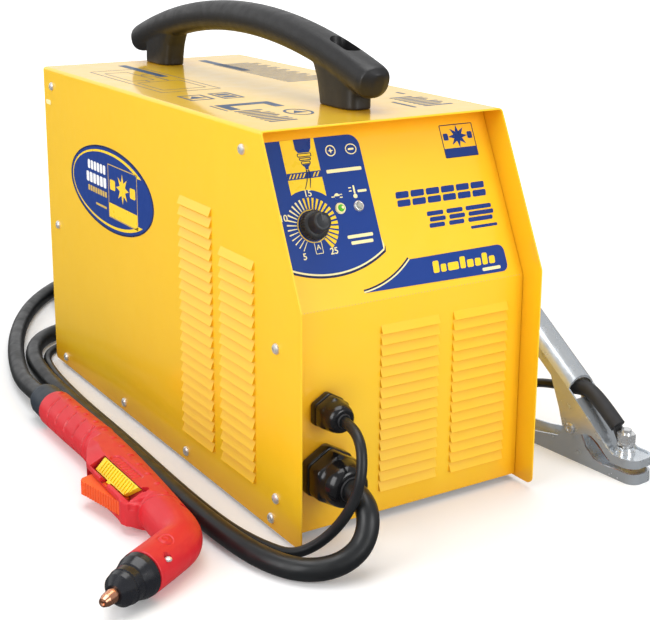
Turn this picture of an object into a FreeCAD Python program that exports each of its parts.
import FreeCAD, Part
import math
import os

# Plasma cutter unit: sheet-steel case with an inverter and a built-in compressor, a hand torch on a
# rubber lead and a return (earth) clamp on a thinner lead.  Millimetres, +X right, +Y back, +Z up.
# Shapes are drawn in the case frame: x = 0 is the left side sheet, y = 0 the front edge of the side
# sheets, z = 0 the top of the feet.  They are moved once, at the end, to the row frame.

V = FreeCAD.Vector

# ---- driving dimensions ------------------------------------------------------------------------
case_width = 210.0
case_length = 472.0
case_height = 283.5
kink_height = 168.5          # where the front edges of the side sheets start to lean back
top_setback = 54.0           # how far the top sheet starts behind the front edges
side_low_z = -4.6            # lower edge of the side sheets, which hide half of each foot
panel_low_z = -2.5           # lower edge of the front and rear panels
sheet = 1.2
edge_gap = 1.6               # from the outside of a side sheet to the panels and the tray inside it
screw_hole_r = 2.1
fold_r = 3.0                 # outside radius of the two long top folds
recess = 20.0                # depth of the front panel behind the front edges
foot_height = 8.0
row_origin = (75.5, 234.4, -foot_height)   # middle of the footprint, on the floor
panel_kink_z = 160.5
panel_top_z = case_height - sheet - 1.0
rear_face = case_length - 10.0
tray_top_z = 2.5

knob_x, knob_u = 36.4, 59.7  # dial centre on the sloped panel: across, and up the slope
led_x = (60.8, 76.1)
led_u = 66.8

small_gland = (32.0, 87.5)   # x, z of the return lead's gland
large_gland = (31.0, 41.5)   # x, z of the torch lead's gland
mains_gland = (150.0, 45.0)
torch_lead_r = 8.0
earth_lead_r = 3.8
mains_lead_r = 5.0
small_thread_r = 10.1
large_thread_r = 16.0

fan_centre = (125.0, 190.0)  # x, z
fan_size = 92.0
switch_centre = (52.0, 60.0)

handle_x = 111.0
handle_mid_y = 281.0
handle_arc = 620.0
handle_top_axis = 339.0
handle_half = 222.0
handle_leg_offset = 160.5
handle_hole_r = 3.1

floor_z = -foot_height
torch_r = 16.0
torch_z = floor_z + torch_r  # height of the torch's middle plane as it lies on its side

lean = math.atan2(top_setback, case_height - kink_height)


# ---- helpers -----------------------------------------------------------------------------------
def box(x0, y0, z0, x1, y1, z1):
    return Part.makeBox(x1 - x0, y1 - y0, z1 - z0, V(x0, y0, z0))


def rod(start, end, radius):
    start = V(*start)
    end = V(*end)
    return Part.makeCylinder(radius, start.distanceToPoint(end), start, end - start)


def cone(start, end, radius_start, radius_end):
    start = V(*start)
    end = V(*end)
    return Part.makeCone(radius_start, radius_end, start.distanceToPoint(end), start, end - start)


def polygon(points):
    corners = [V(*p) for p in points]
    return Part.Face(Part.makePolygon(corners + corners[:1]))


def prism(points, direction):
    return polygon(points).extrude(V(*direction))


def rounded(points, radii):
    """A face whose corners are rounded, each with its own radius."""
    corners = [V(*p) for p in points]
    edges = []
    first = None
    last = None
    for i, corner in enumerate(corners):
        before = (corners[i - 1] - corner).normalize()
        after = (corners[(i + 1) % len(corners)] - corner).normalize()
        half = before.getAngle(after) / 2
        if radii[i] <= 0:
            start, end = corner, corner
        else:
            cut = radii[i] / math.tan(half)
            start = corner + before * cut
            end = corner + after * cut
            middle = corner + (before + after).normalize() * (radii[i] / math.sin(half) - radii[i])
        if last is not None:
            edges.append(Part.LineSegment(last, start).toShape())
        if radii[i] > 0:
            edges.append(Part.Arc(start, middle, end).toShape())
        first = first or start
        last = end
    edges.append(Part.LineSegment(last, first).toShape())
    return Part.Face(Part.Wire(edges))


def frame(origin, right, up, out):
    """Placement that turns local X, Y, Z into the three given directions."""
    matrix = FreeCAD.Matrix(
        right[0], up[0], out[0], origin[0],
        right[1], up[1], out[1], origin[1],
        right[2], up[2], out[2], origin[2],
        0, 0, 0, 1,
    )
    return FreeCAD.Placement(matrix)


def placed(shape, placement):
    moved = shape.copy()
    moved.Placement = placement.multiply(moved.Placement)
    return moved


def fused(shapes):
    whole = shapes[0]
    if len(shapes) > 1:
        whole = whole.fuse(shapes[1:])
    return whole.removeSplitter()


def revolved(profile, origin=(0, 0, 0), axis=(0, 0, 1)):
    """Solid of revolution of (radius, height) points about local Z."""
    face = polygon([(r, 0, z) for r, z in profile])
    return face.revolve(V(*origin), V(*axis), 360)


def hexagon(across_flats, z0, z1):
    radius = across_flats / math.sqrt(3)
    points = []
    for i in range(6):
        a = math.radians(60 * i + 30)
        points.append((radius * math.cos(a), radius * math.sin(a), z0))
    return prism(points, (0, 0, z1 - z0))


slope = frame(
    (0, recess, panel_kink_z),
    (1, 0, 0),
    (0, math.sin(lean), math.cos(lean)),
    (0, -math.cos(lean), math.sin(lean)),
)
front = frame((0, recess, 0), (1, 0, 0), (0, 0, 1), (0, -1, 0))
rear = frame((0, rear_face, 0), (-1, 0, 0), (0, 0, 1), (0, 1, 0))
left = frame((0, 0, 0), (0, -1, 0), (0, 0, 1), (-1, 0, 0))
right = frame((case_width, 0, 0), (0, 1, 0), (0, 0, 1), (1, 0, 0))

# ---- louvres -----------------------------------------------------------------------------------
louvre_height = 6.2
louvre_out = 2.6
side_pitch = 8.5
front_pitch = 8.1
side_louvre_z = 22.0
front_louvre_z = 14.3
front_louvres = 16


def louvre(x, z, length):
    """One louvre in a panel's own frame: the pressed hood and the opening under it."""
    hood = prism([(x, z + louvre_height, 0), (x, z, louvre_out), (x, z, 0)], (length, 0, 0))
    opening = prism(
        [
            (x + 1, z + louvre_height - 1.9, -sheet - 0.5),
            (x + 1, z + louvre_height - 1.9, 0),
            (x + 1, z - 0.4, louvre_out - 0.8),
            (x + 1, z - 0.4, -sheet - 0.5),
        ],
        (length - 2, 0, 0),
    )
    return hood, opening


def louvre_column(x, z, length, count, pitch, placement):
    pairs = [louvre(x, z + i * pitch, length) for i in range(count)]
    return [[placed(s, placement) for s in kind] for kind in zip(*pairs)]


# ---- casing ------------------------------------------------------------------------------------
cover_screw_places = [
    (451.0, 267.0), (450.0, 135.0), (444.0, 3.8), (304.0, 3.8), (179.5, 3.8),
    (80.0, 267.0), (33.0, 134.5), (34.0, 21.7), (41.0, 3.8),
]


def side_screw_holes():
    """Short cutters at the case screws, through whatever lies within 12 mm of each side."""
    reach = 12.0
    holes = []
    for y, z in cover_screw_places:
        holes.append(rod((-5, y, z), (reach, y, z), screw_hole_r))
        holes.append(rod((case_width - reach, y, z), (case_width + 5, y, z), screw_hole_r))
    return holes


def outer_cover():
    side = rounded(
        [
            (0, 0, side_low_z),
            (0, 0, kink_height),
            (0, top_setback, case_height),
            (0, case_length, case_height),
            (0, case_length, side_low_z),
        ],
        [6, 5, 2, 2, 3],
    ).extrude(V(case_width, 0, 0))
    section = rounded(
        [(0, -5, -9), (case_width, -5, -9), (case_width, -5, case_height), (0, -5, case_height)],
        [0, 0, fold_r, fold_r],
    ).extrude(V(0, case_length + 10, 0))
    hollow = rounded(
        [
            (sheet, -6, -10),
            (case_width - sheet, -6, -10),
            (case_width - sheet, -6, case_height - sheet),
            (sheet, -6, case_height - sheet),
        ],
        [0, 0, fold_r - sheet, fold_r - sheet],
    ).extrude(V(0, case_length + 12, 0))
    shell = side.common(section).cut(hollow)
    hoods = []
    openings = []
    for placement, mirror in ((left, -1), (right, 1)):
        for y0, y1, count in ((129.0, 182.0, 23), (64.0, 115.0, 20)):
            x = min(mirror * y0, mirror * y1)
            h, o = louvre_column(x, side_louvre_z, y1 - y0, count, side_pitch, placement)
            hoods += h
            openings += o
    shell = shell.fuse(hoods)
    holes = side_screw_holes()
    for d in (-handle_leg_offset, handle_leg_offset):
        y = handle_mid_y + d
        holes.append(rod((handle_x, y, 270), (handle_x, y, 300), handle_hole_r))
    return shell.cut(openings + holes)


def front_panel():
    top_z = panel_top_z
    rise = top_z - panel_kink_z
    back = sheet / math.cos(lean)
    corner = sheet * math.tan(lean / 2)
    skin = prism(
        [
            (edge_gap, recess, panel_low_z),
            (edge_gap, recess, panel_kink_z),
            (edge_gap, recess + rise * math.tan(lean), top_z),
            (edge_gap, recess + rise * math.tan(lean) + back, top_z),
            (edge_gap, recess + sheet, panel_kink_z - corner),
            (edge_gap, recess + sheet, panel_low_z),
        ],
        (case_width - 2 * edge_gap, 0, 0),
    )
    deep = 21.0
    flange_low_z = 16.0
    flange = prism(
        [
            (edge_gap, recess + sheet, flange_low_z),
            (edge_gap, recess + sheet, panel_kink_z - corner),
            (edge_gap, recess + rise * math.tan(lean) + back, top_z),
            (edge_gap, recess + rise * math.tan(lean) + deep, top_z),
            (edge_gap, recess + deep, panel_kink_z - corner),
            (edge_gap, recess + deep, flange_low_z),
        ],
        (sheet, 0, 0),
    )
    other = flange.copy()
    other.translate(V(case_width - 2 * edge_gap - sheet, 0, 0))
    hoods = []
    openings = []
    for x, length in ((78.5, 51.0), (143.0, 50.5)):
        h, o = louvre_column(x, front_louvre_z, length, front_louvres, front_pitch, front)
        hoods += h
        openings += o
    panel = skin.fuse([flange, other] + hoods)

    def hole(place, radius, placement):
        return placed(rod((0, 0, -3), (0, 0, 3), radius), placement_at(placement, place))

    holes = [
        hole(small_gland, small_thread_r + 0.1, front),
        hole(large_gland, large_thread_r + 0.2, front),
        hole((knob_x, knob_u), 4.0, slope),
    ]
    holes += [hole((x, led_u), 3.2, slope) for x in led_x]
    return panel.cut(openings + holes + side_screw_holes())


def rear_panel():
    top_z = panel_top_z
    skin = box(edge_gap, rear_face - sheet, panel_low_z, case_width - edge_gap, rear_face, top_z)
    flanges = [
        box(x, rear_face - 21, 18.0, x + sheet, rear_face - sheet, top_z)
        for x in (edge_gap, case_width - edge_gap - sheet)
    ]
    panel = skin.fuse(flanges)
    x, z = fan_centre
    holes = [rod((x, rear_face - 5, z), (x, rear_face + 5, z), 43.0)]
    x, z = mains_gland
    holes.append(rod((x, rear_face - 5, z), (x, rear_face + 5, z), small_thread_r + 0.1))
    x, z = switch_centre
    holes.append(box(x - 11.2, rear_face - 5, z - 14.2, x + 11.2, rear_face + 5, z + 14.2))
    return panel.cut(holes + side_screw_holes())


def base_tray():
    y0 = recess + sheet + 0.2
    y1 = rear_face - sheet - 0.2
    thick = tray_top_z - 1.0
    floor = box(edge_gap, y0, 1.0, case_width - edge_gap, y1, tray_top_z)
    flange_xs = (edge_gap, case_width - edge_gap - thick)
    flanges = [box(x, y0, tray_top_z, x + thick, y1, 15.5) for x in flange_xs]
    vents = [box(130, 100 + 14 * i, 0, 190, 106 + 14 * i, 4) for i in range(8)]
    holes = [rod((x, y, -1), (x, y, 4), 2.6) for x, y in foot_places]
    return floor.fuse(flanges).cut(vents + holes + side_screw_holes())


foot_places = [(32.0, 62.0), (178.0, 62.0), (32.0, 428.0), (178.0, 428.0)]


def feet():
    """Four rubber feet, each with a stud that snaps through the tray."""
    profile = [
        (0, floor_z), (9.5, floor_z), (10.5, floor_z + 1), (11.5, 1.0), (2.5, 1.0), (2.5, 3.0),
        (3.4, 3.6), (1.8, 5.2), (0, 5.2),
    ]
    pad = revolved(profile)
    return Part.makeCompound([pad.translated(V(x, y, 0)) for x, y in foot_places])


def cover_screws():
    """Pan-head screws along both side sheets."""
    head = revolved([(0, 0), (3.9, 0), (3.9, 0.9), (3.1, 2.0), (1.6, 2.5), (0, 2.6)])
    cross = box(-0.5, -1.9, 1.3, 0.5, 1.9, 3).fuse(box(-1.9, -0.5, 1.3, 1.9, 0.5, 3))
    screw = head.cut(cross).fuse(rod((0, 0, -8), (0, 0, 0), 2.0))
    solids = [placed(screw, placement_at(left, (-y, z))) for y, z in cover_screw_places]
    solids += [placed(screw, placement_at(right, (y, z))) for y, z in cover_screw_places]
    return Part.makeCompound(solids)


def placement_at(placement, place, out=0.0):
    return placement.multiply(FreeCAD.Placement(V(place[0], place[1], out), FreeCAD.Rotation()))


# ---- handle ------------------------------------------------------------------------------------
def handle_grip():
    arc_centre = V(handle_x, handle_mid_y, handle_top_axis - handle_arc)
    section = rounded(
        [
            (handle_x - 14, handle_mid_y, handle_top_axis - 13),
            (handle_x + 14, handle_mid_y, handle_top_axis - 13),
            (handle_x + 14, handle_mid_y, handle_top_axis + 13),
            (handle_x - 14, handle_mid_y, handle_top_axis + 13),
        ],
        [9, 9, 12, 12],
    )
    half_angle = math.degrees(math.asin(handle_half / handle_arc))
    section.rotate(arc_centre, V(1, 0, 0), -half_angle)
    bar = section.revolve(arc_centre, V(1, 0, 0), 2 * half_angle)
    legs = []
    for sign in (-1, 1):
        y = handle_mid_y + sign * handle_leg_offset
        inner = -sign
        foot = Part.makePolygon(corners_of(handle_x, y, case_height, 10, 22, 22, inner))
        neck = Part.makePolygon(corners_of(handle_x, y, 316, 11.5, 22, 34, inner))
        legs.append(Part.makeLoft([foot, neck], True, True))
    grip = fused([bar] + legs)
    cuts = []
    for sign in (-1, 1):
        y = handle_mid_y + sign * handle_leg_offset
        cuts.append(rod((handle_x, y, 296), (handle_x, y, 360), 5.5))
        cuts.append(rod((handle_x, y, 280), (handle_x, y, 300), handle_hole_r))
    return grip.cut(cuts)


def corners_of(x, y, z, half_width, outward, inward, inner):
    """Closed rectangle; inner is the sign of the direction in which it reaches inward."""
    y0 = y + inner * inward
    y1 = y - inner * outward
    points = [(x - half_width, y0), (x + half_width, y0), (x + half_width, y1), (x - half_width, y1)]
    return [V(px, py, z) for px, py in points + points[:1]]


def handle_screws():
    solids = []
    for sign in (-1, 1):
        y = handle_mid_y + sign * handle_leg_offset
        shank = rod((handle_x, y, 272), (handle_x, y, 296), 3.0)
        head = rod((handle_x, y, 296), (handle_x, y, 301), 4.9)
        socket = placed(hexagon(5, 298, 303), FreeCAD.Placement(V(handle_x, y, 0), FreeCAD.Rotation()))
        nut = placed(hexagon(10, 274, 279), FreeCAD.Placement(V(handle_x, y, 0), FreeCAD.Rotation()))
        solids.append(fused([shank, head, nut]).cut(socket))
    return Part.makeCompound(solids)


# ---- labels ------------------------------------------------------------------------------------
film = 0.3


def control_overlay():
    """Printed film on the left of the sloped panel, with a bowed lower edge."""
    corners = [V(7.5, 118.5, 0), V(81, 118.5, 0), V(90, 109.5, 0), V(90, 35, 0), V(7.5, 20.5, 0)]
    corner_middle = V(90 - 9 + 9 * math.sin(math.pi / 4), 118.5 - 9 + 9 * math.sin(math.pi / 4), 0)
    edges = [
        Part.LineSegment(corners[0], corners[1]).toShape(),
        Part.Arc(corners[1], corner_middle, corners[2]).toShape(),
        Part.LineSegment(corners[2], corners[3]).toShape(),
        Part.Arc(corners[3], V(50, 24.5, 0), corners[4]).toShape(),
        Part.LineSegment(corners[4], corners[0]).toShape(),
    ]
    plate = Part.Face(Part.Wire(edges)).extrude(V(0, 0, film))
    holes = [rod((knob_x, knob_u, -1), (knob_x, knob_u, 1), 4.2)]
    holes += [rod((x, led_u, -1), (x, led_u, 1), 3.4) for x in led_x]
    return placed(plate.cut(holes), slope)


def banner_label():
    """Second film: a flag with a swept left end, low on the sloped panel."""
    edges = [
        Part.Arc(V(66, 4.5, 0), V(92, 11, 0), V(110, 22.5, 0)).toShape(),
        Part.LineSegment(V(110, 22.5, 0), V(189, 22.8, 0)).toShape(),
        Part.Arc(V(189, 22.8, 0), V(194, 20.6, 0), V(196, 16, 0)).toShape(),
        Part.LineSegment(V(196, 16, 0), V(196, 8, 0)).toShape(),
        Part.Arc(V(196, 8, 0), V(194, 4, 0), V(190, 2.4, 0)).toShape(),
        Part.LineSegment(V(190, 2.4, 0), V(66, 4.5, 0)).toShape(),
    ]
    return placed(Part.Face(Part.Wire(edges)).extrude(V(0, 0, film)), slope)


def side_badge():
    """Oval film on the left side sheet."""
    oval = Part.Ellipse(V(-320, 193, 0), 89.5, 37.0).toShape()
    return placed(Part.Face(Part.Wire(oval)).extrude(V(0, 0, film)), left)


# ---- controls ----------------------------------------------------------------------------------
def knob():
    skirt = revolved(
        [(0, 1.2), (10.5, 1.2), (10.5, 5.0), (9.6, 7.0), (7.8, 7.6), (7.2, 15.0), (6.4, 16), (0, 16)]
    )
    flutes = []
    for i in range(18):
        a = math.radians(20 * i + 10)
        x, y = 11.4 * math.cos(a), 11.4 * math.sin(a)
        flutes.append(rod((x, y, 0), (x, y, 6.2), 1.4))
    bore = rod((0, 0, 0), (0, 0, 12), 3.0)
    pointer = box(-0.6, 2.0, 15.4, 0.6, 8.0, 17)
    return placed(skirt.cut(flutes + [bore, pointer]), placement_at(slope, (knob_x, knob_u)))


def potentiometer_shaft():
    return placed(rod((0, 0, -6), (0, 0, 12), 3.0), placement_at(slope, (knob_x, knob_u)))


def potentiometer_body():
    can = rod((0, 0, -12.0), (0, 0, -2.4), 8.5)
    bush = rod((0, 0, -2.4), (0, 0, -1.3), 5.5)
    whole = can.fuse(bush).cut(rod((0, 0, -7), (0, 0, 2), 3.1))
    return placed(whole, placement_at(slope, (knob_x, knob_u)))


def indicator_leds():
    """Two lamps and the bezels round them."""
    lamp = revolved([(0, -13.9), (2.4, -13.9), (2.4, 2.0), (2.1, 3.1), (1.3, 4.0), (0, 4.3)])
    ring = revolved(
        [(2.5, -2.2), (3.1, -2.2), (3.1, film), (4.2, film), (4.0, 1.4), (3.0, 1.9), (2.5, 1.9)]
    )
    solids = []
    for x in led_x:
        where = placement_at(slope, (x, led_u))
        solids += [placed(lamp, where), placed(ring, where)]
    return Part.makeCompound(solids)


def control_board():
    board = placed(box(14, 30, -15.5, 96, 100, -13.9), slope)
    chip_places = [(22, 36), (44, 40), (70, 44), (66, 84)]
    chips = [placed(box(x, u, -18.5, x + 12, u + 9, -15.5), slope) for x, u in chip_places]
    posts = [placed(rod((x, u, -13.9), (x, u, -1.3), 2.6), slope) for x in (18, 92) for u in (34, 96)]
    bore = placed(rod((knob_x, knob_u, -14), (knob_x, knob_u, -11.9), 8.6), slope)
    return fused([board] + chips + posts).cut(bore)


# ---- cable glands ------------------------------------------------------------------------------
def gland_body(flats, thread_r, bore_r, depth):
    seat = hexagon(flats, 0, depth)
    chamfer = cone((0, 0, -1), (0, 0, depth + 6), flats * 0.56, flats * 0.60)
    thread = rod((0, 0, -11), (0, 0, 0), thread_r)
    return seat.common(chamfer).fuse(thread).cut(rod((0, 0, -12), (0, 0, depth + 1), bore_r))


def gland_nut(flats, bore_r, z0, z1, tip, mouth_r):
    """Compression nut: a hexagon whose outer end is domed down to the mouth."""
    round_r = flats * 0.555
    dome = revolved(
        [
            (0, z0),
            (round_r, z0),
            (round_r, z1 - 2),
            (flats * 0.49, z1),
            (flats * 0.475, z1 + 1.5),
            (flats * 0.44, tip - 3.0),
            (flats * 0.38, tip - 0.8),
            (mouth_r + 1.2, tip),
            (0, tip),
        ]
    )
    hexed = hexagon(flats, z0, z1).fuse(rod((0, 0, z1 - 0.1), (0, 0, tip), flats * 0.5))
    return dome.common(hexed).cut(rod((0, 0, z0 - 1), (0, 0, tip + 1), bore_r))


def with_lock_nut(body, flats, thread_r):
    """The gland's body and the nut that holds it from inside, as two solids."""
    nut = hexagon(flats, -6.2, -sheet).cut(rod((0, 0, -8), (0, 0, 0), thread_r))
    return Part.makeCompound([body, nut])


def at_front(shape, place):
    return placed(shape, placement_at(front, place))


def at_rear(shape, place):
    return placed(shape, placement_at(rear, (-place[0], place[1])))


# ---- rear fittings -----------------------------------------------------------------------------
def fan_frame():
    x, z = fan_centre
    half = fan_size / 2
    y0, y1 = rear_face - sheet - 25.0, rear_face - sheet
    duct = rod((x, y0 - 1, z), (x, y1 + 1, z), 43.5)
    shell = box(x - half, y0, z - half, x + half, y1, z + half).cut(duct)
    hub = rod((x, y1 - 4, z), (x, y1 - 1, z), 19.0)
    struts = []
    for i in range(4):
        turn = FreeCAD.Rotation(V(0, 1, 0), 45 + 90 * i).multiply(FreeCAD.Rotation(V(1, 0, 0), 90))
        struts.append(placed(box(15, -1.5, 0, 45, 1.5, 3), FreeCAD.Placement(V(x, y1 - 1, z), turn)))
    corners = [
        rod((x + sx * 41.3, y0 - 1, z + sz * 41.3), (x + sx * 41.3, y1 + 1, z + sz * 41.3), 2.2)
        for sx in (-1, 1)
        for sz in (-1, 1)
    ]
    return fused([shell, hub] + struts).cut(corners)


def fan_rotor():
    x, z = fan_centre
    y0, y1 = rear_face - sheet - 23.5, rear_face - sheet - 5.0
    hub = rod((x, y0, z), (x, y1, z), 18.5)
    blades = []
    for i in range(7):
        blade = box(-8.5, 17, -0.8, 8.5, 42.3, 0.8)
        blade.rotate(V(0, 0, 0), V(0, 1, 0), 38)
        blade.rotate(V(0, 0, 0), V(0, 0, 1), 360.0 / 7 * i)
        upright = FreeCAD.Placement(V(x, (y0 + y1) / 2, z), FreeCAD.Rotation(V(1, 0, 0), 90))
        blade.Placement = upright.multiply(blade.Placement)
        blades.append(blade)
    return fused([hub] + blades)


def fan_guard():
    """Wire finger guard on the rear panel."""
    x, z = fan_centre
    y = rear_face + 3.0
    rings = [Part.makeTorus(r, 0.9, V(x, y, z), V(0, 1, 0)) for r in (14, 22, 30, 38, 44)]
    spokes = []
    tabs = []
    for i in range(4):
        a = math.radians(45 + 90 * i)
        tip = (x + 52 * math.cos(a), y - 1.2, z + 52 * math.sin(a))
        spokes.append(rod((x + 13 * math.cos(a), y - 1.2, z + 13 * math.sin(a)), tip, 1.0))
        tab_x, tab_z = x + 57.5 * math.cos(a), z + 57.5 * math.sin(a)
        tabs.append(rod((tab_x, rear_face, tab_z), (tab_x, rear_face + 2.6, tab_z), 4.6))
        spokes.append(rod(tip, (x + 56 * math.cos(a), y - 1.2, z + 56 * math.sin(a)), 1.0))
    return fused(rings + spokes + tabs)


def switch_body():
    x, z = switch_centre
    bezel = box(x - 14, rear_face, z - 17, x + 14, rear_face + 2.2, z + 17)
    can = box(x - 11, rear_face - 20, z - 14, x + 11, rear_face, z + 14)
    well = box(x - 9.4, rear_face - 12, z - 13.2, x + 9.4, rear_face + 3, z + 13.2)
    tabs = [box(x - 3, rear_face - 29, z + d - 0.4, x + 3, rear_face - 20, z + d + 0.4) for d in (-8, 8)]
    return bezel.fuse([can] + tabs).cut(well)


rocker_tilt = 11.0
rocker_pivot_depth = 4.0


def switch_rocker():
    x, z = switch_centre
    y = rear_face - rocker_pivot_depth
    points = [(-6, 0), (-2, -11), (9, -11), (6.5, 0), (9, 11), (-2, 11)]
    rocker = prism([(x - 9.0, y + dy, z + dz) for dy, dz in points], (18.0, 0, 0))
    rocker.rotate(V(x, y, z), V(1, 0, 0), -rocker_tilt)
    return rocker


# ---- inside ------------------------------------------------------------------------------------
compressor_axis = (62.0, 64.0)   # x, z


def compressor_motor():
    x, z = compressor_axis
    can = rod((x, 326, z), (x, 412, z), 36.0)
    saddles = [box(x - 24, y, 18.5, x + 24, y + 14, 42) for y in (336, 388)]
    slots = [box(x - 50, y, z - 8, x + 50, y + 4, z + 8) for y in (348, 360, 372)]
    inside = rod((x, 330, z), (x, 408, z), 33.0)
    rear_hole = rod((x, 400, z), (x, 420, z), 6.2)
    return fused([can] + saddles).cut(slots + [inside, rear_hole])


def compressor_pump():
    x, z = compressor_axis
    crankcase = box(x - 30, 268, 18.5, x + 30, 326, 96)
    barrel = rod((x, 297, 96), (x, 297, 140), 21)
    fins = [rod((x, 297, 100 + 6 * i), (x, 297, 102 + 6 * i), 27) for i in range(7)]
    head = box(x - 26, 271, 140, x + 26, 323, 156)
    port = rod((x, 271, 148), (x, 262, 148), 5)
    cavity = box(x - 24, 274, 30, x + 24, 322, 90)
    return fused([crankcase, barrel, head, port] + fins).cut(cavity)


def compressor_fan():
    x, z = compressor_axis
    hub = rod((x, 414, z), (x, 425, z), 10)
    shaft = rod((x, 396, z), (x, 414, z), 6.0)
    ring = rod((x, 418, z), (x, 420, z), 14)
    blades = []
    for i in range(6):
        blade = box(-5, 9, -0.9, 5, 33, 0.9)
        blade.rotate(V(0, 0, 0), V(0, 1, 0), 30)
        blade.rotate(V(0, 0, 0), V(0, 0, 1), 60 * i)
        upright = FreeCAD.Placement(V(x, 419.5, z), FreeCAD.Rotation(V(1, 0, 0), 90))
        blade.Placement = upright.multiply(blade.Placement)
        blades.append(blade)
    return fused([hub, shaft, ring] + blades)


def compressor_mount():
    plate = box(22, 262, 16.0, 102, 410, 18.5)
    mounts = [rod((x, y, 2.5), (x, y, 16), 8) for x in (34, 90) for y in (274, 398)]
    return fused([plate] + mounts)


def heatsink():
    base = box(118, 70, 22, 198, 250, 28)
    fins = [box(118, 70 + 9 * i, 28, 198, 73 + 9 * i, 62) for i in range(20)]
    legs = [box(x, y, 2.5, x + 8, y + 8, 22) for x in (118, 190) for y in (70, 242)]
    return fused([base] + fins + legs)


def inverter_board():
    board = box(112, 64, 68, 204, 256, 69.6)
    posts = [rod((x, y, 62), (x, y, 68), 3.5) for x in (124, 192) for y in (71.5, 242.5)]
    transistors = [box(122 + 16 * i, 150, 69.6, 133 + 16 * i, 155, 88) for i in range(5)]
    return fused([board] + posts + transistors)


def bus_capacitors():
    return Part.makeCompound([rod((x, 80, 69.6), (x, 80, 118), 14) for x in (130, 160, 190)])


def main_transformer():
    core = box(126, 172, 69.6, 190, 232, 126)
    windows = [box(138, 160, 82, 152, 245, 114), box(164, 160, 82, 178, 245, 114)]
    return core.cut(windows)


def output_choke():
    return Part.makeTorus(16.5, 7.3, V(158, 123, 77.0), V(0, 0, 1))


def solenoid_valve():
    x, z = large_gland
    block = box(x - 14, 46, 18, x + 14, 84, 54)
    coil = rod((x, 65, 54), (x, 65, 82), 11)
    inlet = rod((x, 84, 40), (x, 96, 40), 5)
    outlet = rod((x, 36, 40), (x, 46, 40), 7)
    stand = box(x - 12, 50, 2.5, x + 12, 80, 18)
    foot_clearance = rod(foot_places[0] + (0,), foot_places[0] + (7,), 5.0)
    return fused([block, coil, inlet, outlet, stand]).cut(foot_clearance)


# ---- torch -------------------------------------------------------------------------------------
torch_path = [
    (-60.8, 311.0), (-60.8, 268.0), (-59.6, 228.0), (-60.4, 188.0), (-62.8, 148.0), (-65.8, 108.0),
    (-69.3, 70.0), (-72.5, 35.0), (-92.5, 21.8), (-116.0, 8.0),
]
torch_wall = 2.6
nozzle_base = torch_path[-1]
nozzle_run = math.dist(torch_path[-2], torch_path[-1])
nozzle_way = tuple((b - a) / nozzle_run for a, b in zip(torch_path[-2], torch_path[-1]))
trigger_pivot = (-76.5, 109.0)
trigger_half = 5.4
torch_screw_places = [(-75.0, 93.0), (-60.0, 60.0), (-99.5, 2.6)]
torch_screw_z = torch_z + 7.5
catch_frame = frame(
    (-79.5, 128.5, torch_z + 9.4),
    (math.sqrt(0.5), 0, math.sqrt(0.5)),
    (0, 1, 0),
    (-math.sqrt(0.5), 0, math.sqrt(0.5)),
)


def nozzle_point(distance):
    return (nozzle_base[0] + nozzle_way[0] * distance, nozzle_base[1] + nozzle_way[1] * distance, torch_z)


nozzle = frame(
    nozzle_point(0),
    (-nozzle_way[1], nozzle_way[0], 0),
    (0, 0, 1),
    (nozzle_way[0], nozzle_way[1], 0),
)


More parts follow.
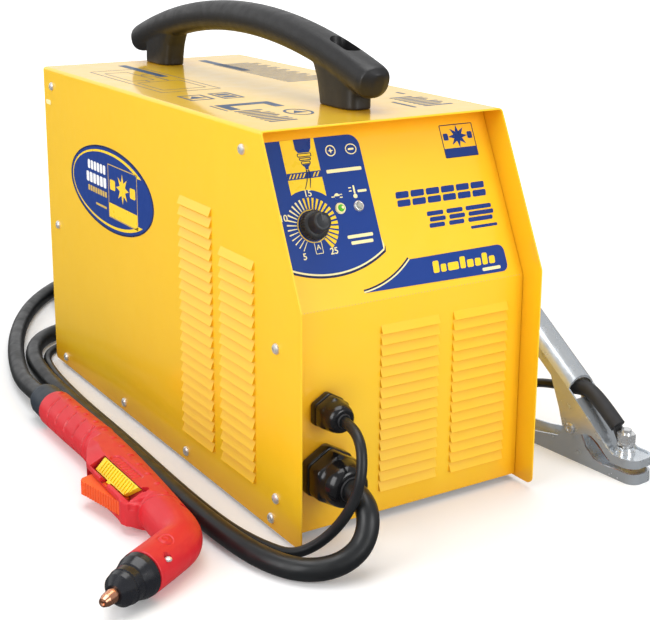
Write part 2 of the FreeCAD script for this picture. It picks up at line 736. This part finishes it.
def torch_shells():
    """Two moulded halves that meet on the middle plane, with shoulder, trigger guard and screw bosses."""
    path = [V(x, y, torch_z) for x, y in torch_path]
    outer = tube(path, torch_r)
    guard_half = 9.0
    guard = rounded(
        [
            (-70, 102, torch_z - guard_half),
            (-91.5, 102, torch_z - guard_half),
            (-93.2, 96, torch_z - guard_half),
            (-91.0, 90.5, torch_z - guard_half),
            (-82.5, 84, torch_z - guard_half),
            (-72, 80, torch_z - guard_half),
        ],
        [0, 1, 2, 3, 6, 0],
    ).extrude(V(0, 0, 2 * guard_half))
    # The shoulder is where its plan meets its cross-section, which slopes from the crown to the ridge.
    shoulder_plan = prism(
        [
            (x, y, floor_z)
            for x, y in [
                (-60, 200), (-72, 196), (-88.6, 172), (-91.2, 130), (-91.5, 101), (-84, 88), (-64, 80),
            ]
        ],
        (0, 0, 2 * torch_r),
    )
    ridge_half = 9.5
    crown_half = 15.4
    shoulder_section = prism(
        [
            (x, 70, torch_z + h)
            for x, h in [
                (-60, -torch_r), (-60, torch_r), (-74, crown_half), (-92, ridge_half), (-92, -ridge_half),
                (-74, -crown_half),
            ]
        ],
        (0, 140, 0),
    )
    shoulder = shoulder_plan.common(shoulder_section)
    core = tube(path, torch_r - torch_wall)
    x, y = trigger_pivot
    posts = [rod((x, y, torch_z - 13), (x, y, torch_z + 13), 3.6)]
    for sx, sy in torch_screw_places:
        posts.append(rod((sx, sy, torch_z - torch_r), (sx, sy, torch_z + torch_r), 3.8))
    bosses = [outer.common(post) for post in posts]
    whole = outer.fuse([guard, shoulder]).cut(core).fuse(bosses)
    slot_half = trigger_half + 0.4
    slot = box(-110, y - 7, torch_z - slot_half, -66, 178, torch_z + slot_half)
    cuts = [slot, rod((x, y, torch_z - 9.2), (x, y, torch_z + 9.2), 2.05)]
    bed = [(-5.0, -37, -0.5), (6.1, -37, -0.5), (6.1, -37, 14), (-6.1, -37, 14), (-6.1, -37, 1.0)]
    cuts.append(placed(prism(bed, (0, 72, 0)), catch_frame))
    cuts.append(placed(box(-9.5, -3, 1.6, -5, 11, 14), catch_frame))
    cuts.append(placed(box(-2.4, -16, -9, 2.4, 10, 2), catch_frame))
    for sx, sy in torch_screw_places:
        cuts.append(rod((sx, sy, torch_z - 11), (sx, sy, torch_z + 20), 1.5))
        cuts.append(rod((sx, sy, torch_screw_z), (sx, sy, torch_z + 20), 2.9))
    whole = whole.cut(cuts)
    span = 400
    upper = whole.common(box(-span, -span, torch_z, span, span, span))
    lower = whole.common(box(-span, -span, -span, span, span, torch_z))
    return largest(upper), largest(lower)


def largest(shape):
    """The main solid of a shape, without slivers cut loose from it."""
    return max(shape.Solids, key=lambda solid: solid.Volume)


def torch_ferrule():
    """Grey collar that closes the rear of the grip around the lead."""
    ring = revolved([(8.1, 0), (14.9, 0), (14.9, 4), (14.2, 24), (12.6, 30), (8.1, 30)])
    spigot = revolved([(8.1, -12), (12.5, -12), (12.5, 0), (8.1, 0)])
    back = frame((torch_path[0][0], torch_path[0][1], torch_z), (1, 0, 0), (0, 0, -1), (0, 1, 0))
    return placed(ring.fuse(spigot), back)


def torch_trigger():
    """Trigger with its moulded pivot pins."""
    x, y = trigger_pivot
    heel = (-91.2, 102.9)
    toe = (-101.5, 151.5)
    outline = [(x + 2.5, y - 3), heel, toe, (-98.5, 155.5), (-73, 163)]
    blade = rounded([(px, py, torch_z - trigger_half) for px, py in outline], [2, 1, 2, 2, 3])
    blade = blade.extrude(V(0, 0, 2 * trigger_half))
    grooves = []
    count = 13
    for i in range(count):
        t = (i + 1) / (count + 2)
        place = (heel[0] + (toe[0] - heel[0]) * t - 0.2, heel[1] + (toe[1] - heel[1]) * t)
        grooves.append(rod(place + (torch_z - 6,), place + (torch_z + 6,), 0.9))
    pins = rod((x, y, torch_z - 9), (x, y, torch_z + 9), 2.0)
    return blade.cut(grooves).fuse(pins)


def safety_catch():
    """Ribbed slide on the shoulder of the torch, beside the trigger."""
    half = 31.0
    height = 3.6
    section = [(-4.4, 0), (5.6, 0), (5.6, height), (-5.6, height), (-5.6, 1.3)]
    bar = prism([(x, -half, h) for x, h in section], (0, 2 * half, 0))
    plan = [(-5.6, 10 - half), (5.6, -half), (5.6, half), (-5.6, half)]
    bar = bar.common(prism([(x, y, -1) for x, y in plan], (0, 0, 8)))
    ribs = [box(-4.6, 4.2 * i - 26.5, height - 0.8, 4.6, 4.2 * i - 24.3, height + 1) for i in range(13)]
    tooth = box(-7.4, 2, 2.5, -5, 8, height)
    stem = box(-2, -10, -3, 2, 6, 0.5)
    return placed(bar.cut(ribs).fuse([tooth, stem]), catch_frame)


def trigger_switch():
    return box(-63, 138, torch_z - 5, -55, 158, torch_z + 5)


def torch_screws():
    head = revolved([(0, 0), (2.6, 0), (2.2, 1.6), (0, 2.0)])
    slot = box(-3, -0.4, 1.0, 3, 0.4, 3)
    shank = rod((0, 0, -18), (0, 0, 0), 1.4)
    screw = head.cut(slot).fuse(shank)
    return Part.makeCompound([screw.translated(V(x, y, torch_screw_z)) for x, y in torch_screw_places])


def torch_head():
    """Insulated cathode block inside the neck, with the thread for the cup."""
    block = revolved(
        [(2.1, -12), (9, -12), (9, -7), (13.2, -7), (13.2, -1), (11.7, -1), (11.7, 8), (2.1, 8)]
    )
    return placed(block, nozzle)


def torch_electrode():
    return placed(revolved([(0, -11), (2.0, -11), (2.0, 22), (3.4, 22), (3.4, 30), (0, 31)]), nozzle)


def torch_cup():
    profile = [
        (12.0, 1.5), (15.9, 1.5), (15.4, 6), (13.2, 12.5), (12.4, 13.5), (12.6, 14.0), (12.6, 19.5),
        (12.0, 20.2), (12.2, 21), (11.4, 25), (6.4, 30.5), (5.1, 30.5), (5.1, 26), (9.8, 22), (12.0, 9),
    ]
    return placed(revolved(profile), nozzle)


def torch_tip():
    profile = [
        (0.7, 41.5), (1.6, 42.5), (3.0, 42.0), (4.3, 38.5), (4.9, 33), (4.9, 26.0), (8.4, 22.5),
        (8.4, 21.0), (4.2, 21.0), (4.2, 36), (0.7, 39),
    ]
    return placed(revolved(profile), nozzle)


# ---- earth clamp -------------------------------------------------------------------------------
clamp_pivot = (285.6, 27.3, 20.0)
clamp_way = (0.0823, -0.9966)        # plan direction from the pivot towards the nose
# The clamp's own frame: X towards the nose, Y across to the far side, Z up, zero on the pivot.
clamp = frame(
    clamp_pivot,
    (clamp_way[0], clamp_way[1], 0),
    (-clamp_way[1], clamp_way[0], 0),
    (0, 0, 1),
)
clamp_floor = floor_z - clamp_pivot[2]
steel = 1.6
lower_half = 12.6
upper_half = 14.6
grip_slope = math.tan(math.radians(37))
grip_mouth = -4.0
grip_base = 32.5
pin_bore = 3.05


def cheek_pair(outline, half):
    """The same flat cheek on both sides of an arm."""
    return [prism([(a, y, h) for a, h in outline], (0, steel, 0)) for y in (-half, half - steel)]


def nose_plate(a0, half, z0, z1):
    """Plan of an arm's rounded nose, between two heights."""
    tip = 66.0
    outline = [(a0, -half), (tip, -half), (tip, half), (a0, half)]
    corner_r = half * 0.72
    face = rounded([(a, b, z0) for a, b in outline], [0, corner_r, corner_r, 0])
    return face.extrude(V(0, 0, z1 - z0))


def bent_strip(points, half, thick):
    """A strip that follows a line of (along, up) points and is thick upwards."""
    upper = [(a, -half, h + thick) for a, h in reversed(points)]
    return prism([(a, -half, h) for a, h in points] + upper, (0, 2 * half, 0))


def lower_arm():
    """Pressed steel arm that lies on the floor: a dish with low cheeks that rise to the pivot."""
    web = box(-80, -lower_half, clamp_floor, 50, lower_half, clamp_floor + steel)
    cheeks = cheek_pair(
        [
            (-80, clamp_floor), (-80, -21), (-44, -17.5), (-15, -12), (-7, 0), (-2, 5), (4, 4.5),
            (10, -3), (16, -12.4), (24.5, -18.9), (33, -20.7), (44, -20), (52, -19.5), (52, clamp_floor),
        ],
        lower_half,
    )
    nose = nose_plate(48, lower_half, clamp_floor, -19.5)
    dish = nose_plate(46, lower_half - steel, clamp_floor + steel, 0)
    dish.translate(V(-steel, 0, 0))
    bore = rod((0, -20, 0), (0, 20, 0), pin_bore)
    return placed(fused([web, nose] + cheeks).cut([bore, dish]), clamp)


def upper_arm():
    """Arm that carries the lead: round-backed grip behind, cheeks at the pivot, trough to the nose."""
    reach = 62.0
    crown = 8.5

    def grip_section(half, top, bottom, a):
        arc = Part.Arc(V(a, -half, 0), V(a, 0, top), V(a, half, 0)).toShape()
        side = Part.LineSegment(V(a, half, 0), V(a, half, bottom)).toShape()
        base = Part.LineSegment(V(a, half, bottom), V(a, -half, bottom)).toShape()
        close = Part.LineSegment(V(a, -half, bottom), V(a, -half, 0)).toShape()
        return Part.Face(Part.Wire([arc, side, base, close]))

    way = V(-reach, 0, reach * grip_slope)
    outer = grip_section(upper_half, crown, -9, 0).extrude(way)
    inner = grip_section(upper_half - steel, crown - steel * 1.2, -12, 0).extrude(way * 1.2)
    inner.translate(way * -0.1)
    grip = outer.cut(inner).translated(V(grip_mouth, 0, grip_base))
    cheeks = cheek_pair(
        [
            (-24, grip_base + 20 * grip_slope - 0.5), (grip_mouth, grip_base), (26, 8), (40, -4.5),
            (46, -7.5), (55, -7.5), (55, -14.5), (45, -15), (38, -10.3), (30, -3.2), (23, 0.4), (16, 0),
            (9, -3), (1, -9), (-6, -6), (-9.3, 1), (-13.4, 13.6), (-24, grip_base + 20 * grip_slope - 9),
        ],
        upper_half,
    )
    trough = bent_strip([(3, 24), (27, 3.4), (38, -10.1), (52, -10.1)], upper_half - steel / 2, steel)
    nose = nose_plate(50, upper_half, -14.5, -7.5)
    dish = nose_plate(48, upper_half - steel, -8.5, 0)
    dish.translate(V(-steel, 0, 0))
    hollow = nose_plate(40, upper_half - steel, -20, -10.1)
    hollow.translate(V(-steel, 0, 0))
    hole = rod((46, 0, -20), (46, 0, 0), 4.1)
    bore = rod((0, -20, 0), (0, 20, 0), pin_bore)
    return placed(fused([grip, trough, nose] + cheeks).cut([dish, hollow, hole, bore]), clamp)


def clamp_pin():
    """Rivet through both arms, flared at its ends."""
    shank = rod((0, -15.0, 0), (0, 15.0, 0), 3.0)
    flare = revolved([(0, 14.9), (4.8, 14.9), (4.8, 15.6), (3.6, 16.6), (2.2, 16.6), (1.6, 15.4), (0, 15.4)])
    flare.rotate(V(0, 0, 0), V(1, 0, 0), 90)
    other = flare.copy()
    other.rotate(V(0, 0, 0), V(1, 0, 0), 180)
    return placed(fused([shank, flare, other]), clamp)


def clamp_spring():
    """Torsion spring round the pin, drawn as the tube that its turns fill."""
    coil = revolved([(4.2, -8), (6.4, -8), (6.4, 8), (4.2, 8)])
    coil.rotate(V(0, 0, 0), V(1, 0, 0), 90)
    return placed(coil, clamp)


def clamp_terminal():
    """Bolt, washer and nut for the lead's bared end."""
    on_axis = FreeCAD.Placement(V(46, 0, 0), FreeCAD.Rotation())
    parts = [
        rod((46, 0, -16), (46, 0, 11), 4.0),
        rod((46, 0, -8.5), (46, 0, -6.5), 7.9),
        rod((46, 0, -6.5), (46, 0, -3.2), 6.8),
        placed(hexagon(13, 0.6, 7.6), on_axis),
        rod((46, 0, -1.4), (46, 0, 0.6), 7.2),
    ]
    return placed(fused(parts), clamp)


def upper_contact():
    """Copper leaf under the upper arm."""
    leaf = bent_strip([(13, -2.2), (20, -5.2), (28, -10.7), (36, -16.2), (42, -18.2), (60, -17.2)], 9, 1.2)
    return placed(leaf.cut(rod((46, 0, -20), (46, 0, -14), 4.0)), clamp)


def lead_sleeve():
    """Rubber sleeve over the end of the return lead, and the bared strands under the nut."""
    line = [(-18, 27.5), (-6, 30.5), (5, 31.5), (15, 26.5), (26, 19.0), (37, 10.5)]
    sleeve = tube([V(a, 0, h) for a, h in line], 6.3)
    strands = fused([rod((35, 1.9 * i, 11.4), (43.5, 2.0 * i, -2.3), 1.1) for i in range(-2, 3)])
    return placed(Part.makeCompound([sleeve, strands.cut(sleeve)]), clamp)


# ---- leads -------------------------------------------------------------------------------------
def tube(points, radius, report=None):
    """Straight runs joined by tangent arcs, each arc as large as its two runs allow."""
    edges = []
    last = points[0]
    smallest = None
    for i in range(1, len(points) - 1):
        before = points[i - 1] - points[i]
        after = points[i + 1] - points[i]
        turn = math.pi - before.getAngle(after)
        cut = 0.45 * min(before.Length, after.Length)
        bend = cut / math.tan(turn / 2)
        smallest = bend if smallest is None else min(smallest, bend)
        start = points[i] + before.normalize() * cut
        end = points[i] + after.normalize() * cut
        toward = (before + after).normalize()
        middle = points[i] + toward * (math.hypot(cut, bend) - bend)
        edges.append(Part.LineSegment(last, start).toShape())
        edges.append(Part.Arc(start, middle, end).toShape())
        last = end
    edges.append(Part.LineSegment(last, points[-1]).toShape())
    path = Part.Wire(edges)
    circle = Part.Wire(Part.Circle(points[0], points[1] - points[0], radius).toShape())
    solid = path.makePipeShell([circle], True, False)
    if report:
        ideal = math.pi * radius * radius * path.Length
        print("%s: length %.0f, smallest radius %.1f" % (report, path.Length, smallest))
        print("    %.1f diameters, volume / ideal %.4f" % (smallest / (2 * radius), solid.Volume / ideal))
    return solid


coil_centre = (165.0, 616.0)
coil_r = 90.0
earth_coil_centre = (272.0, 318.0)
earth_coil_r = 42.0
floor_torch = floor_z + torch_lead_r
floor_earth = floor_z + earth_lead_r

torch_lead_out = [
    (31.0, -17.0, 41.5), (31.0, -31.0, 40.3), (28.5, -42.5, 30.3), (22.0, -46.0, 15.8), (10.0, -45.5, 6.8),
    (-4.5, -40.5, 2.0), (-18.5, -29.0, floor_torch), (-29.5, -8.0, floor_torch), (-36.0, 24.0, floor_torch),
    (-39.0, 84.0, floor_torch), (-38.5, 165.0, floor_torch), (-36.0, 250.0, floor_torch),
    (-36.5, 340.0, floor_torch), (-34.0, 420.0, floor_torch), (-23.0, 482.0, floor_torch),
    (6.0, 528.0, floor_torch), (58.0, 543.0, floor_torch), (112.0, 532.0, floor_torch),
    (165.0, 526.0, floor_torch),
]
torch_lead_back = [
    (165.0, 706.0, floor_torch), (118.0, 703.0, floor_torch), (74.0, 680.0, floor_torch),
    (33.0, 636.0, floor_torch), (-1.0, 578.0, floor_torch), (-29.0, 512.0, floor_torch),
    (-49.0, 445.0, floor_torch), (-59.5, 391.0, 3.0), (-60.8, 340.0, torch_z),
]
earth_lead_out = [
    (32.0, -4.5, 87.5), (31.5, -19.0, 86.8), (28.0, -33.5, 78.0), (23.0, -40.5, 60.0), (18.0, -37.0, 40.0),
    (11.0, -27.0, 20.5), (1.0, -15.5, 5.5), (-9.0, -2.0, floor_earth + 0.6), (-17.5, 19.0, floor_earth),
    (-24.8, 52.0, floor_earth), (-27.0, 100.0, floor_earth), (-26.6, 156.0, floor_earth),
    (-25.0, 214.0, floor_earth), (-24.1, 270.0, floor_earth), (-24.2, 328.0, floor_earth),
    (-22.0, 386.0, floor_earth), (-18.0, 436.0, floor_earth), (-10.0, 478.5, floor_earth),
    (14.0, 503.0, floor_earth), (58.0, 509.0, floor_earth), (112.0, 501.0, floor_earth),
    (168.0, 498.0, floor_earth), (220.0, 494.0, floor_earth), (266.0, 474.0, floor_earth),
    (298.0, 436.0, floor_earth),
    (313.0, 386.0, floor_earth), (314.0, 346.0, floor_earth), (314.0, 318.0, floor_earth),
]
earth_lead_back = [
    (314.0, 318.0, floor_earth + 7.6), (316.0, 284.0, floor_earth + 5.5),
    (314.0, 246.0, floor_earth + 0.3), (305.0, 208.0, floor_earth), (290.0, 176.0, floor_earth),
    (279.5, 151.0, -1.5), (276.0, 130.0, 10.0), (277.5, 110.5, 25.0), (280.0, 93.0, 35.0),
    (281.5, 77.0, 40.8), (282.8, 61.2, 44.4), (284.1, 45.6, 47.3),
]


def lead(points, radius, name):
    return tube([V(*p) for p in points], radius, name)


def coil(centre, radius, lead_r, wide, high):
    """The ring-shaped space that a neatly wound coil fills."""
    half = wide * lead_r
    top = floor_z + 2 * lead_r * high
    soft = lead_r * 0.9
    section = rounded(
        [
            (radius - half, 0, floor_z),
            (radius + half, 0, floor_z),
            (radius + half, 0, top),
            (radius - half, 0, top),
        ],
        [soft] * 4,
    )
    ring = section.revolve(V(0, 0, 0), V(0, 0, 1), 360)
    return ring.translated(V(centre[0], centre[1], 0))


def coil_ties():
    """Hook-and-loop straps, one over each coil."""
    straps = []
    for centre, radius, lead_r, wide, high, angle in (
        (coil_centre, coil_r, torch_lead_r, 2, 3, 35),
        (earth_coil_centre, earth_coil_r, earth_lead_r, 2, 2, 60),
    ):
        half = wide * lead_r + 2
        top = floor_z + 2 * lead_r * high + 2
        band = box(radius - half, -8, floor_z, radius + half, 8, top)
        band.rotate(V(0, 0, 0), V(0, 0, 1), angle)
        band.translate(V(centre[0], centre[1], 0))
        straps.append(band.cut(coil(centre, radius, lead_r, wide, high)))
    return Part.makeCompound(straps)


def air_hose():
    points = [
        (62, 262, 148), (62, 230, 148), (56, 190, 132), (42, 150, 90), (30, 120, 50), (27.5, 96, 40),
    ]
    return tube([V(*p) for p in points], 4.0)


def wiring_harness():
    board = [V(88, 62, 206), V(94, 84, 196), V(108, 108, 160), V(116, 132, 110), V(118, 140, 72)]
    mains = [
        V(52, 434, 68), V(51, 430.5, 84), V(52, 429.5, 106), V(66, 412, 126), V(96, 352, 130),
        V(112, 290, 112), V(119, 254, 90), V(121, 242, 72.6),
    ]
    return Part.makeCompound([tube(board, 2.5), tube(mains, 3.0)])


# ---- writing the nodes -------------------------------------------------------------------------
def build():
    torch_upper, torch_lower = torch_shells()
    small_flats, large_flats = 25.0, 38.0
    small_body = gland_body(small_flats, small_thread_r, earth_lead_r + 0.4, 6.0)
    large_body = gland_body(large_flats, large_thread_r, torch_lead_r + 0.4, 9.0)
    mains_body = gland_body(small_flats, small_thread_r, mains_lead_r, 6.0)
    small_nut = gland_nut(24.0, earth_lead_r, 6.0, 14.0, 24.5, earth_lead_r)
    large_nut = gland_nut(36.0, torch_lead_r, 9.0, 22.0, 37.0, torch_lead_r)
    mains_nut = gland_nut(24.0, mains_lead_r, 6.0, 15.0, 25.0, mains_lead_r)
    small_body = with_lock_nut(small_body, small_flats, small_thread_r)
    large_body = with_lock_nut(large_body, large_flats, large_thread_r)
    mains_body = with_lock_nut(mains_body, small_flats, small_thread_r)
    return {
        "outer_cover": outer_cover(),
        "front_panel": front_panel(),
        "rear_panel": rear_panel(),
        "base_tray": base_tray(),
        "feet": feet(),
        "cover_screws": cover_screws(),
        "handle_grip": handle_grip(),
        "handle_screws": handle_screws(),
        "panel_labels": Part.makeCompound([control_overlay(), banner_label()]),
        "side_badge": side_badge(),
        "current_knob": knob(),
        "potentiometer_shaft": potentiometer_shaft(),
        "potentiometer_body": potentiometer_body(),
        "indicator_leds": indicator_leds(),
        "control_board": control_board(),
        "earth_gland_body": at_front(small_body, small_gland),
        "earth_gland_nut": at_front(small_nut, small_gland),
        "torch_gland_body": at_front(large_body, large_gland),
        "torch_gland_nut": at_front(large_nut, large_gland),
        "mains_gland": at_rear(Part.makeCompound([mains_body, mains_nut]), mains_gland),
        "fan_frame": fan_frame(),
        "fan_rotor": fan_rotor(),
        "fan_guard": fan_guard(),
        "mains_switch_body": switch_body(),
        "mains_switch_rocker": switch_rocker(),
        "compressor_motor": compressor_motor(),
        "compressor_pump": compressor_pump(),
        "compressor_fan": compressor_fan(),
        "compressor_mount": compressor_mount(),
        "air_hose": air_hose(),
        "solenoid_valve": solenoid_valve(),
        "heatsink": heatsink(),
        "inverter_board": inverter_board(),
        "bus_capacitors": bus_capacitors(),
        "main_transformer": main_transformer(),
        "output_choke": output_choke(),
        "wiring_harness": wiring_harness(),
        "torch_shell_upper": torch_upper,
        "torch_shell_lower": torch_lower,
        "torch_ferrule": torch_ferrule(),
        "torch_trigger": torch_trigger(),
        "safety_catch": safety_catch(),
        "trigger_switch": trigger_switch(),
        "torch_screws": torch_screws(),
        "torch_head": torch_head(),
        "torch_electrode": torch_electrode(),
        "torch_cup": torch_cup(),
        "torch_tip": torch_tip(),
        "clamp_lower_arm": lower_arm(),
        "clamp_upper_arm": upper_arm(),
        "clamp_pin": clamp_pin(),
        "clamp_spring": clamp_spring(),
        "clamp_terminal": clamp_terminal(),
        "clamp_upper_contact": upper_contact(),
        "earth_lead_sleeve": lead_sleeve(),
        "torch_lead": Part.makeCompound(
            [
                lead(torch_lead_out, torch_lead_r, "torch lead, gland to coil"),
                lead(torch_lead_back, torch_lead_r, "torch lead, coil to torch"),
            ]
        ),
        "torch_lead_coil": coil(coil_centre, coil_r, torch_lead_r, 2, 3),
        "earth_lead": Part.makeCompound(
            [
                lead(earth_lead_out, earth_lead_r, "earth lead, gland to coil"),
                lead(earth_lead_back, earth_lead_r, "earth lead, coil to clamp"),
            ]
        ),
        "earth_lead_coil": coil(earth_coil_centre, earth_coil_r, earth_lead_r, 2, 2),
        "coil_ties": coil_ties(),
    }


def main():
    os.makedirs("parts", exist_ok=True)
    for name, shape in build().items():
        shape.translate(V(*row_origin) * -1)
        shape.exportStep("parts/%s.step" % name)


main()
